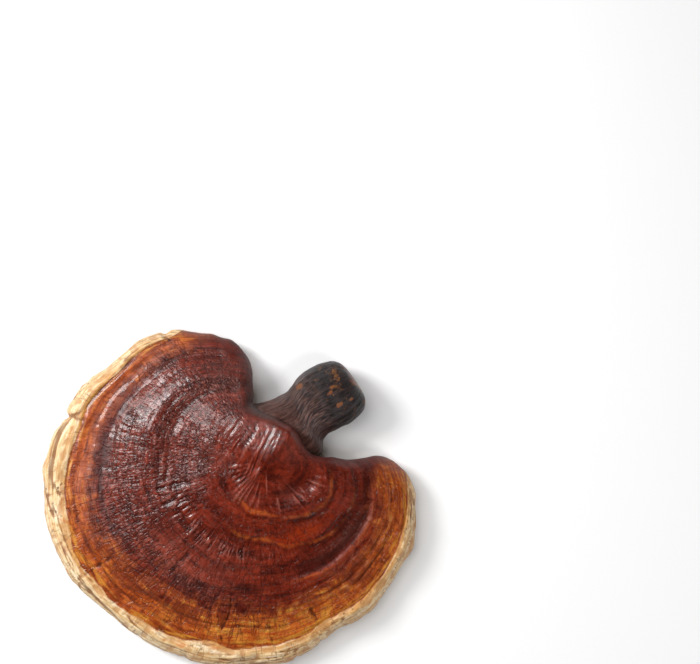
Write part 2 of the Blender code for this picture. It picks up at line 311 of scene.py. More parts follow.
def weaveAt(growth, bearing):
    # how crackled the lacquer is, 0 to 1: most in patches of the left bands and across the front, as a
    # sum of bells, and little on the knob and the smooth right side
    left = within(bearing, 66, 165, 30) * ease(growth, 0.08, 0.2) * (1 - ease(growth, 0.76, 0.82))
    patches = np.clip(0.62 + 0.9 * layers(bearing / 14, growth * 9, 30, 58), 0.12, 1.1)
    weave = 0.1 + 0.8 * left * patches
    weave += 0.2 * left * (bell(growth, 0.31, 0.07) + bell(growth, 0.46, 0.05) + bell(growth, 0.6, 0.09))
    weave += 0.7 * bell(growth, 0.72, 0.12) * within(bearing, 150, 225, 30)
    return np.clip(weave, 0, 1)


def fineRings(growth, bearing):
    # thin concentric grooves: noise stretched far round the cap and short across it
    lines = layers(bearing / 15, growth * 46, 24, 51)
    finer = grain(bearing / 9, growth * 120, 40, 55)
    weight = 0.06 + 0.06 * within(bearing, 70, 165, 30) * (1 - ease(growth, 0.74, 0.8))
    weight = arcs(capRelief["grooved"], growth, bearing, weight)
    return weight * (lines + 0.6 * finer) * ease(growth, 0.08, 0.2)


# the bands of colour, which the margin's shape follows too

capBands = dict(
    # growth at which the crust turns amber, how much growth that takes, and where the cream begins
    amber={
        60: 0.98, 72: 0.93, 80: 0.84, 90: 0.775, 100: 0.765, 120: 0.785, 150: 0.785, 165: 0.775, 185: 0.765,
        197: 0.75, 207: 0.745, 212: 0.7, 225: 0.725, 238: 0.72, 245: 0.7, 255: 0.7, 265: 0.7, 280: 0.67,
        300: 0.64, 310: 0.66, 318: 0.82, 330: 1.0,
    },
    fade={60: 0.06, 85: 0.06, 105: 0.035, 150: 0.03, 165: 0.075, 205: 0.08, 213: 0.04, 238: 0.05, 250: 0.09,
          300: 0.11, 330: 0.08},
    cream={
        60: 1.1, 76: 1.02, 84: 0.925, 92: 0.91, 100: 0.895, 118: 0.892, 125: 0.878, 145: 0.885, 152: 0.905,
        165: 0.92, 175: 0.915, 190: 0.9, 200: 0.885, 209: 0.868, 215: 0.893, 225: 0.897, 238: 0.895,
        245: 0.872, 252: 0.885, 262: 0.895, 270: 0.885, 280: 0.872, 292: 0.872, 302: 0.9, 312: 0.95,
        322: 1.03, 340: 1.1,
    },
    creamNotches=0.015,  # how far the cream's inner edge steps in and out
)


def bandAt(growth, bearing):
    # band is 0 at the start, 1 where amber begins, 2 where cream begins, 3 at the margin, and straight
    # between; turning is below -1 where the crust is plain, 0 where chestnut and above 1 where amber
    amber = aroundCap(capBands["amber"], bearing, 3)
    turning = (growth - amber) / aroundCap(capBands["fade"], bearing, 4)
    notches = capBands["creamNotches"] * layers(bearing / 9, growth * 0, 40, 62)
    cream = np.maximum(aroundCap(capBands["cream"], bearing, 2) + notches, amber + 0.02)
    margin = np.maximum(1.0, cream + 0.05)
    band = np.where(growth > amber, 1 + (growth - amber) / (cream - amber), growth / amber)
    band = np.where(growth > cream, 2 + (growth - cream) / (margin - cream), band)
    return band, np.clip(turning, -4, 4)


def creases(bearing, growth):  # passes 0 along a few long lines that run round the margin
    return layers(bearing / 22, growth * 26, 16, 66, 2)


def marginRelief(band, bearing, growth):
    # a groove where the cream begins, then a rolled lip, each a bell; the lip's own folds are noise in
    # small cells and in long thin ones, cut by creases
    creamy = ease(bearing, 76, 90) * (1 - ease(bearing, 306, 320))
    sharp = 0.3 + 0.7 * within(bearing, 84, 150, 14) + 0.4 * within(bearing, 205, 262, 14)
    groove = -0.6 * bell(band, 1.98, 0.08) * sharp
    lip = 0.8 * bell(band, 2.38, 0.26) * (0.6 + 0.8 * layers(bearing / 9, growth * 0, 40, 61))
    onCream = ease(band, 1.95, 2.15)
    lines = creases(bearing, growth)
    folds = 0.65 * layers(bearing / 4, growth * 12, 90, 63)
    folds += 0.16 * layers(bearing / 12, growth * 80, 30, 64)
    folds -= 0.5 * np.abs(lines) + 0.35 * bell(lines, 0, 0.06)
    shelves = 0.22 * layers(bearing / 30, growth * 34, 12, 65) * ease(band, 0.9, 1.2) * (1 - onCream)
    dip = -0.3 * bell(band, 1.55, 0.35)
    return (groove + lip + dip) * creamy, (folds * onCream + shelves) * creamy


# bells in growth and bearing: growth, bearing, amount, spread in growth, spread in degrees
capPatches = dict(
    # where the crust is darker (below 0), mostly painted shade in the troughs and valleys,
    # or a warmer red (above 0)
    warmthAndShade=[
        (0.5, 268, -1, 0.055, 38), (0.45, 100, -0.8, 0.05, 40), (0.33, 252, 0.9, 0.05, 26),
        (0.22, 210, 0.7, 0.05, 30), (0.55, 70, -0.6, 0.25, 16), (0.12, 262, -0.6, 0.07, 25),
        (0.58, 250, 0.5, 0.05, 30), (0.7, 250, 0.6, 0.05, 30), (0.17, 285, 0.5, 0.05, 20),
        (0.56, 178, 0.5, 0.06, 12), (0.3, 95, 0.35, 0.1, 25), (0.42, 190, -0.3, 0.05, 30),
        (0.06, 130, 0.3, 0.06, 40), (0.72, 182, 0.4, 0.05, 20), (0.62, 110, 0.25, 0.08, 30),
        (0.73, 250, -0.5, 0.02, 6), (0.48, 225, 0.5, 0.08, 25), (0.62, 280, 0.5, 0.06, 25),
    ],
    # where the lacquer is duller (above 0) or glossier (below 0)
    dull=[
        (0.1, 55, 1, 0.2, 32), (0.08, 330, 0.9, 0.14, 30), (0.5, 66, 0.7, 0.3, 18),
        (0.83, 108, 1, 0.08, 60), (0.33, 252, -0.5, 0.06, 30), (0.6, 265, -0.3, 0.1, 30),
        (0.12, 262, 0.4, 0.06, 20), (0.6, 200, 0.4, 0.12, 30), (0.58, 266, 0.9, 0.07, 36),
        (0.74, 130, 0.8, 0.05, 34),
    ],
    # where a pale dust of spores clings, with a painted sheen on the hairs there
    dustAndSheen=[(0.6, 183, 1.0, 0.09, 22), (0.62, 110, 0.5, 0.06, 34), (0.25, 125, 0.5, 0.12, 22),
           (0.12, 185, 0.6, 0.08, 14), (0.1, 345, 0.6, 0.07, 30), (0.45, 200, 0.4, 0.07, 26)],
)

# how yellow the amber band is, and how tan and how pitted the cream margin: over how many degrees it is
# softened, and its value by bearing
capAround = dict(
    ochre=(5, {60: 0, 85: 0.3, 120: 0.35, 150: 0.35, 160: 0.3, 175: 0.35, 195: 0.6, 208: 0.75, 214: 1,
               240: 1, 248: 0.75, 265: 0.45, 300: 0.45}),
    tanned=(5, {60: 0.3, 90: 0, 190: 0, 210: 0.1, 240: 0.3, 300: 0.4, 320: 0.4}),
    pitted=(3, {60: 0, 85: 0.2, 100: 0, 125: 0.2, 138: 0.3, 143: 1, 148: 0.8, 154: 0.2, 200: 0.1, 212: 0.5,
                228: 0.6, 238: 0.2, 247: 1, 254: 1, 262: 0.4, 270: 0.3, 285: 0.2, 310: 0}),
)


def rootAt(x, y):
    # 1 where the cap runs into the stem, left of the corner of its lip: from a line up to that lip
    return ease(y - along(capMesh["lip"], x, 0.5), -4.0, 0.5) * ease(x, 2, -12) * ease(x, -22, -17)


def patchesAt(patches, growth, bearing):
    # the sum of a bell in growth times a bell in bearing for each patch
    total = np.zeros_like(growth)
    for ring, side, amount, width, spread in patches:
        total += amount * bell(growth, ring, width) * bell(apart(bearing, side), 0, spread)
    return np.clip(total, -1, 1)


def capHeight(x, y):
    # everything together; also returns what the material needs at each place
    growth, bearing, distance = growthAt(x, y)
    band, turning = bandAt(growth, bearing)
    steps, glow, shade = ringSteps(growth, bearing)
    cracks = spokes(growth, bearing, distance)
    lip, lipFolds = marginRelief(band, bearing, growth)
    fine = cracks + wrinkleStrength(growth, bearing) * wrinkles(x, y, growth, bearing, distance)
    fine = fine + fineRings(growth, bearing) + lipFolds
    broad = plainHeight(x, y, growth, bearing) + steps + lip
    broad += 0.35 * layers((x + 70) / 11, (y + 70) / 11, 14, 71)
    return dict(height=broad + fine, fine=fine, cracks=cracks, growth=growth, bearing=bearing, band=band,
                distance=distance, glow=glow, shade=shade, turning=turning)


# the cap's mesh

capMesh = dict(
    columns=640,
    # the widest line of the edge, anticlockwise from the notch on the stem's left: x, y, height
    edge=[
        (-16.6, 28.5, 13.5), (-18.9, 30.7, 11.2), (-21.9, 33.2, 9.2), (-25.4, 36.2, 8), (-29.8, 38, 7),
        (-35.5, 38.6, 6), (-39.4, 37.4, 5.6), (-42.9, 35, 5.4), (-46.4, 31.9, 5.2), (-49.8, 29.3, 5),
        (-53.4, 26.2, 4.9), (-57.1, 20.9, 4.7), (-59.3, 14.6, 4.6), (-60, 9, 4.6), (-60.9, 1.6, 4.6),
        (-62, -6, 4.6), (-61.4, -13.6, 4.6), (-59, -21.3, 4.6), (-56.6, -28.9, 4.6), (-53.2, -36, 4.6),
        (-48, -42.2, 4.6), (-42.1, -47.5, 4.6), (-34.9, -51.3, 4.6), (-27.8, -54.7, 4.5), (-20, -57, 4.5),
        (-11.9, -57.2, 4.4), (-4.3, -57.2, 4.4), (3.6, -56.5, 4.4), (11.5, -54.9, 4.4), (19.5, -53.5, 4.4),
        (26.5, -50.2, 4.4), (33.6, -46.2, 4.4), (39.8, -41, 4.4), (45.4, -35.2, 4.5), (51, -29.2, 4.5),
        (54.9, -22.3, 4.6), (57.3, -14.5, 4.6), (57.9, -6.6, 4.6), (60.6, 0.8, 4.7), (61.3, 8.9, 4.7),
        (59.6, 16.7, 4.7), (57.8, 24.4, 4.8), (56.2, 32.3, 4.8), (51.4, 38.7, 5), (44.9, 43.9, 5.2),
        (38.1, 47.6, 5.6), (30.4, 47.7, 6.4), (25.5, 45.7, 7.4), (22.7, 42.2, 8.8), (19.9, 38.7, 10.6),
        (17.2, 36.5, 13), (14.6, 35, 15.6), (11.9, 32.6, 18), (8.6, 31, 19.6), (4.4, 31.4, 20.8),
        (0.4, 32.6, 21.6), (-2.2, 33, 21.8), (-5.4, 31.9, 21.2), (-9.2, 30.7, 19.6), (-13, 29, 16.8),
    ],
    # the whole outline is in plain sight of these middles, above and below, so no face folds over
    hub=(3.0, 3.0),
    poreHub=(3.0, -2.0),
    roundOver=5.0,  # width of the rounded edge along the margin
    lipRound=2.2,  # and along the lip over the stem
    topRows=104,
    roundRows=20,
    marginHeight=4.5,
    lipHeight=21.8,
    lip=[(-22, 24), (-16.5, 28.2), (-13, 28.7), (-8.6, 30.7), (-4.9, 31.9), (-2, 32.9), (2, 34)],  # x, y
    # under the edge: how far in and how high, along the margin and up the wall behind the stem
    underMargin=[(0.25, 3.4), (0.9, 2.1), (2.0, 0.8), (3.6, 0.1), (4.6, 0), (5.2, 0), (5.8, 0), (6.4, 0.05)],
    underWall=[(0.35, 20.6), (0.8, 19.6), (1.4, 19.0), (2.2, 17.0), (2.6, 9.5), (3.0, 2.0), (3.4, 0.8),
               (3.8, 0.9)],
    underRows=14,
    poreRows=18,
    poreHollow=1.6,
)


def smoothLoop(points, count):
    # a closed Catmull-Rom curve through the points, then stepped evenly along its length
    points = np.array(points, float)
    low, start, end, high = (np.roll(points, shift, 0)[:, None] for shift in (1, 0, -1, -2))
    t = np.linspace(0, 1, 24, endpoint=False)[None, :, None]
    curve = 2 * start + (end - low) * t + (2 * low - 5 * start + 4 * end - high) * t**2
    curve = ((curve + (3 * start - low - 3 * end + high) * t**3) / 2).reshape(-1, points.shape[1])
    closed = np.vstack([curve, curve[:1]])
    length = np.concatenate([[0], np.cumsum(np.linalg.norm(np.diff(closed[:, :2], axis=0), axis=1))])
    evenly = np.linspace(0, length[-1], count, endpoint=False)
    return np.stack([np.interp(evenly, length, closed[:, i]) for i in range(points.shape[1])], 1)


def blurred(values, reach, axes=(0,)):  # the average of the values up to "reach" steps away, each way
    for axis in axes:
        values = sum(np.roll(values, step, axis) for step in range(-reach, reach + 1)) / (2 * reach + 1)
    return values


def capEdge():
    # the outline, with fine nicks, and a bite wherever a deep crease reaches the margin
    edge = smoothLoop(capMesh["edge"], capMesh["columns"])
    step = np.arange(len(edge)) / len(edge)
    nicks = layers(step * 34, step * 0, 34, 101, 4)
    bearing, reach = seenFrom(edge[:, 0], edge[:, 1], growthShape["start"])
    bite = sum(rise * bell(np.radians(apart(bearing, side)) * reach, 0, 1.1)
               for side, _, end, rise, _ in capSpokes if end > 1 and rise < 0)
    onMargin = 1 - ease(edge[:, 2], 5.5, 9)
    ahead = blurred(np.roll(edge[:, :2], -1, 0) - np.roll(edge[:, :2], 1, 0), 5)
    inwards = np.stack([-ahead[:, 1], ahead[:, 0]], 1)
    inwards /= np.linalg.norm(inwards, axis=1)[:, None]
    edge[:, :2] -= inwards * ((0.9 * nicks + 1.8 * bite) * onMargin)[:, None]
    edge[:, 2] += 0.7 * layers(step * 26, step * 0, 26, 103) * onMargin
    return edge, inwards


def buildCap():
    shape = capMesh
    hub = np.array(shape["hub"])
    edge, inwards = capEdge()
    # how far up the back wall each point of the edge is, from 0 on the margin to 1 at the lip
    back = np.clip((edge[:, 2] - shape["marginHeight"]) / (shape["lipHeight"] - shape["marginHeight"]), 0, 1)
    over = shape["roundOver"] + (shape["lipRound"] - shape["roundOver"]) * back
    inner = edge[:, :2] + inwards * over[:, None]
    shares = np.linspace(0.012, 1, shape["topRows"])[:, None, None]
    top = hub + (inner[None] - hub) * shares
    turn = np.linspace(math.pi / 2, 0, shape["roundRows"] + 1)[1:]
    # round the edge: inset is (1 - cos turn) of the width, and height share is sin turn
    inset = over[None, :] * (1 - np.cos(turn))[:, None]
    rim = edge[None, :, :2] + inwards[None] * inset[..., None]
    places = np.concatenate([top, rim])
    height = capHeight(places[..., 0], places[..., 1])["height"]
    lift = np.concatenate([np.ones(shape["topRows"]), np.sin(turn)])[:, None]
    z = edge[None, :, 2] + (height - edge[None, :, 2]) * lift
    # under the edge, the margin's profile and the back wall's are blended by how high the edge is
    station = np.linspace(0, 1, shape["underRows"] + 1)[1:]
    profiles = []
    for points in (shape["underMargin"], shape["underWall"]):
        steps = np.linspace(0, 1, len(points))
        profiles.append([np.interp(station, steps, values)[:, None] for values in np.array(points).T])
    insets, underZ = (margin * (1 - back) + wall * back for margin, wall in zip(*profiles, strict=True))
    under = edge[None, :, :2] + inwards[None] * insets[..., None]
    poreShares = np.linspace(1, 0.02, shape["poreRows"] + 1)[1:, None, None]
    poreHub = np.array(shape["poreHub"])
    pores = poreHub + (under[-1][None] - poreHub) * poreShares
    poreZ = shape["poreHollow"] + (underZ[-1][None] - shape["poreHollow"]) * poreShares[..., 0] ** 1.5
    allPlaces = np.concatenate([places, under, pores])
    allZ = np.concatenate([z, underZ, poreZ])
    return np.concatenate([allPlaces, allZ[..., None]], -1)


def placed(name, data):  # a new object of the scene
    thing = bpy.data.objects.new(name, data)
    bpy.context.scene.collection.objects.link(thing)
    return thing


def joined(values):  # a grid's values as one list, then the averages of its first and last rows
    return np.concatenate([values.reshape(-1, *values.shape[2:]), [values[0].mean(0), values[-1].mean(0)]])


def closedMesh(name, rows):
    # a grid of points whose columns join round, with a fan of triangles to a middle point at each end
    count, columns = rows.shape[:2]
    points = joined(rows) * mm
    index = np.arange(count * columns).reshape(count, columns)
    beside = np.roll(index, -1, 1)
    quads = np.stack([index[:-1], index[1:], beside[1:], beside[:-1]], -1).reshape(-1, 4)
    first = np.stack([np.full(columns, count * columns), index[0], beside[0]], 1)
    last = np.stack([np.full(columns, count * columns + 1), beside[-1], index[-1]], 1)
    mesh = bpy.data.meshes.new(name)
    mesh.from_pydata(points.tolist(), [], [*quads.tolist(), *first.tolist(), *last.tolist()])
    mesh.shade_smooth()
    return placed(name, mesh)


def addFacts(piece, facts):
    # stores one number, or one vector, for each of the mesh's points
    for name, values in facts.items():
        values = joined(values)
        kind, key = ("FLOAT", "value") if values.ndim == 1 else ("FLOAT_VECTOR", "vector")
        fact = piece.data.attributes.new(name, kind, "POINT")
        fact.data.foreach_set(key, values.ravel())


def makeCap(origin):
    rows = buildCap()
    piece = closedMesh("reishiCap", rows + np.array([*origin, 0]))
    x, y = rows[..., 0], rows[..., 1]
    whole = capHeight(x, y)
    growth, bearing, distance = whole["growth"], whole["bearing"], whole["distance"]
    topCount = capMesh["topRows"] + capMesh["roundRows"]
    underShare = np.zeros_like(x)
    underShare[topCount:] = ease(np.arange(len(x) - topCount), 1, 7)[:, None]
    fanBearing, fromFan = seenFrom(x, y, growthShape["fanFrom"])
    turn, fanTurn = np.radians(bearing), np.radians(fanBearing)
    calm = distance / (distance + growthShape["calm"])
    # patterns run on over the edge: each 60 mm down counts as 1 more of growth
    drop = np.maximum(whole["height"] - rows[..., 2], 0) / 60
    cracks = np.clip(-whole["cracks"], 0, 1)
    cracks += 0.5 * bell(creases(bearing, growth), 0, 0.05) * ease(whole["band"], 2.05, 2.2)
    facts = dict(
        growth=np.stack([np.cos(turn) * calm, np.sin(turn) * calm, growth + drop], -1),
        fan=np.stack([np.cos(fanTurn), np.sin(fanTurn), fromFan / 60 + drop * 1.5], -1),
        fanShare=fanShare(x, growth),
        root=rootAt(x, y),
        rim=ease(np.arange(len(x)), capMesh["topRows"] - 4, topCount - 8)[:, None] + 0 * x,
        relief=whole["fine"] - blurred(whole["fine"], 4, (0, 1)),
        crack=np.clip(cracks, 0, 1),
        weave=weaveAt(growth, bearing),
        underShare=underShare,
    )
    facts.update({name: whole[name] for name in ("band", "glow", "shade", "distance", "turning")})
    facts.update({name: patchesAt(patches, growth, bearing) for name, patches in capPatches.items()})
    facts.update({name: aroundCap(table, bearing, soften) for name, (soften, table) in capAround.items()})
    addFacts(piece, facts)
    print("cap:", len(piece.data.vertices), "points")
    return piece


# the stem

stemShape = dict(
    foot=(-2.2, 37.6),
    lean=11.0,  # degrees towards +X
    # distance along, middle across, half width, middle height, half height
    sections=[
        (-12.5, 0.4, 13.2, 9.4, 8.0), (-9.0, 1.6, 12.6, 9.7, 8.4), (-6.0, 2.0, 12.2, 9.8, 8.8),
        (-3.2, 2.2, 11.9, 9.8, 9.0), (-1.2, 2.0, 11.4, 9.8, 9.0), (0.6, 0.5, 9.9, 9.7, 8.9),
        (3.0, -0.4, 10.2, 9.6, 8.8), (5.5, -0.7, 10.9, 9.5, 8.7), (10.5, -0.5, 11.3, 9.4, 8.8),
        (15.0, -0.2, 10.9, 9.4, 8.6), (18.2, 0.0, 9.6, 9.4, 7.8), (20.2, 0.2, 7.6, 9.4, 6.4),
        (21.0, 0.3, 5.2, 9.4, 4.4), (21.2, 0.3, 0.3, 9.4, 0.3),
    ],
    squareness=2.3,  # 2 is an ellipse, and more is fuller at its corners
    floor=0.3,  # nothing of it is lower than this
    # its top rises to meet the cap's lip: middle across, spread, rise, and distance from none of it to all
    saddle=(-6.5, 6.0, 3.0, 0.0, -9.0),
    columns=300,
    rows=250,
    # bare tan spots: distance along, across, half length, half width
    spots=[(4.6, -8.8, 1.6, 0.8), (11.7, -1.4, 1.2, 0.7), (12.3, 3.7, 1.5, 0.9), (13.6, -2.6, 0.8, 0.6),
           (16.6, 4.4, 0.9, 0.6)],
    network=(14.9, -5.5, 4.2, 4.6),  # a mottled tan net: the same four numbers
)


def makeStem(origin):
    # sections are |x / width|ⁿ + |z / height|ⁿ = 1, set along a leaning axis, roughened along their length
    shape = stemShape
    table = np.array(shape["sections"])
    stations = np.arange(len(table))
    reach = np.linspace(0, len(table) - 1, shape["rows"])
    steps = np.linspace(-0.4, 0.4, 9)
    smooth = [[np.interp(reach + step, stations, column) for step in steps] for column in table.T]
    distance, shift, halfWidth, middleZ, halfHeight = np.mean(smooth, 1)[..., None]
    around = np.linspace(0, 2 * math.pi, shape["columns"], endpoint=False)[None, :]
    power = 2 / shape["squareness"]
    side, up = (np.sign(value) * np.abs(value) ** power for value in (np.cos(around), np.sin(around)))
    fibre = around / (2 * math.pi)
    level = distance + 0 * around
    bend = 0.35 * grain(fibre * 14, level / 9, 14, 81)
    rough = 0.14 * (0.5 - np.abs(grain(fibre * 64 + bend, level / 8, 64, 82)))
    rough += 0.16 * (0.5 - np.abs(grain(fibre * 132 + bend * 2, level / 5, 132, 83)))
    rough += 0.12 * layers(fibre * 30, level / 2.2, 30, 86)
    lumps = 0.5 * layers(fibre * 9, level / 6, 9, 84)
    onSide = ease(halfWidth, 1, 8)
    swell = (rough + lumps) * onSide
    x = shift + (halfWidth + swell) * side
    z = middleZ + (halfHeight + swell) * up
    middle, spread, rise, *reach = shape["saddle"]
    z = z + rise * bell(x, middle, spread) * ease(distance, *reach) * np.clip(up, 0, 1)
    lean = math.radians(shape["lean"])
    worldX = shape["foot"][0] + distance * math.sin(lean) + x * math.cos(lean)
    worldY = shape["foot"][1] + distance * math.cos(lean) - x * math.sin(lean)
    rows = np.stack([worldX + origin[0], worldY + origin[1], np.maximum(z, shape["floor"])], -1)
    piece = closedMesh("reishiStem", rows)
    spots = np.zeros_like(x)
    for middle, across, halfLength, halfAcross in shape["spots"]:
        reached = ((distance - middle) / halfLength) ** 2 + ((x - across) / halfAcross) ** 2
        spots = np.maximum(spots, 1.6 - reached)
    middle, across, halfLength, halfAcross = shape["network"]
    every = np.zeros_like(x)
    addFacts(piece, dict(
        fibre=np.stack([np.cos(around) + every, np.sin(around) + every, distance / 20 + every], -1),
        relief=rough * onSide - blurred(rough * onSide, 5, (0, 1)),
        toEnd=distance / 21 + every,
        across=x / 11,
        spots=np.clip(spots * (up > 0), 0, 1.6),
        net=bell(distance, middle, halfLength) * bell(x, across, halfAcross) * (up > 0),
    ))
    print("stem:", len(piece.data.vertices), "points")
    return piece


# materials

def paint(screen):  # a screen colour, 0 to 255, as the linear colour that the shader takes
    return *(((c / 255 + 0.055) / 1.055) ** 2.4 if c > 10 else c / 255 / 12.92 for c in screen), 1


class Mixer:
    # short ways to add and join the shader nodes of one material or world; tones are colours by name

    def __init__(self, owner, **tones):
        owner.use_nodes = True
        self.owner = owner
        self.tree = owner.node_tree
        self.tones = {name: paint(screen) for name, screen in tones.items()}

    def add(self, kind):
        return self.tree.nodes.new("ShaderNode" + kind)

    def fill(self, node, inputs, out=0):
        # links or sets a node's inputs, by name or number; (socket, low, high, ...) goes through a span
        for key, value in inputs.items():
            if isinstance(value, tuple) and isinstance(value[0], bpy.types.NodeSocket):
                value = self.span(*value)
            if isinstance(value, bpy.types.NodeSocket):
                self.tree.links.new(value, node.inputs[key])
            elif value is not None:
                node.inputs[key].default_value = self.tones[value] if isinstance(value, str) else value
        return node.outputs[out]

    def fact(self, name, out="Fac"):
        node = self.add("Attribute")
        node.attribute_name = name
        return node.outputs[out]

    def math(self, operation, *values):
        node = self.add("Math")
        node.operation = operation
        return self.fill(node, dict(enumerate(values)))

    def times(self, a, b):
        return self.math("MULTIPLY", a, b)

    def most(self, a, b):
        return self.math("MAXIMUM", a, b)

    def plus(self, a, share, b):  # a * share + b
        return self.math("MULTIPLY_ADD", a, share, b)

    def stray(self, noise, amount, value):  # (noise - 0.5) * amount + value
        return self.plus(self.math("SUBTRACT", noise, 0.5), amount, value)

    def scale(self, vector, stretch):
        node = self.add("VectorMath")
        node.operation = "MULTIPLY"
        return self.fill(node, {0: vector, 1: stretch})

    def noise(self, vector, stretch, detail=4.0, roughness=0.55, distortion=0.0):
        finish = {"Scale": 1.0, "Detail": detail, "Roughness": roughness, "Distortion": distortion}
        return self.fill(self.add("TexNoise"), {"Vector": self.scale(vector, stretch), **finish})

    def cells(self, vector, scale, feature="F1"):
        node = self.add("TexVoronoi")
        node.feature = feature
        return self.fill(node, {"Vector": vector, "Scale": scale}, "Distance")

    def bent(self, vector, amount):  # the vector moved about by coarse noise
        drift = self.fill(self.add("TexNoise"), {"Vector": vector, "Scale": 0.35}, "Color")
        node = self.add("VectorMath")
        node.operation = "MULTIPLY_ADD"
        return self.fill(node, {0: drift, 1: (amount, amount, amount), 2: vector})

    def span(self, value, low, high, top=1.0, bottom=0.0):  # a smooth step from bottom at low to top at high
        node = self.add("MapRange")
        node.interpolation_type = "SMOOTHSTEP"
        ends = {"From Min": low, "From Max": high, "To Min": bottom, "To Max": top}
        return self.fill(node, {"Value": value, **ends})

    def ramp(self, value, stops):
        node = self.add("ValToRGB")
        marks = node.color_ramp.elements
        while len(marks) < len(stops):
            marks.new(0.5)
        for mark, (position, tone) in zip(marks, stops, strict=True):
            mark.position = position
            mark.color = self.tones[tone]
        return self.fill(node, {0: value})

    def mix(self, share, a, b):
        node = self.add("Mix")
        node.data_type = "RGBA"
        return self.fill(node, {0: share, 6: a, 7: b}, 2)

    def tinted(self, colour, tints):  # mixes in one tone after another, each by its own share
        for tone, share in tints:
            colour = self.mix(share, colour, tone)
        return colour

    def bump(self, height, depth, under=None):
        return self.fill(self.add("Bump"), {"Distance": depth, "Height": height, "Normal": under})


crustColours = dict(  # screen colours
    deep=(42, 11, 8), mahogany=(74, 21, 12), redBrown=(118, 38, 21), warm=(140, 44, 14),
    bloom=(168, 98, 84), dusky=(78, 38, 30), chestnut=(142, 64, 28), edgeOrange=(176, 84, 34),
    rust=(122, 52, 22), seam=(80, 28, 15), orange=(168, 76, 28), amber=(186, 98, 38),
    ochre=(202, 138, 54), gold=(196, 132, 48), bone=(242, 224, 192), cream=(230, 204, 160),
    straw=(212, 172, 118), tan=(180, 126, 74), rootDark=(40, 20, 16), rootPale=(88, 44, 34),
    pith=(112, 70, 38), poreTan=(214, 184, 138), poreBrown=(150, 112, 72), poreStain=(178, 132, 84),
)


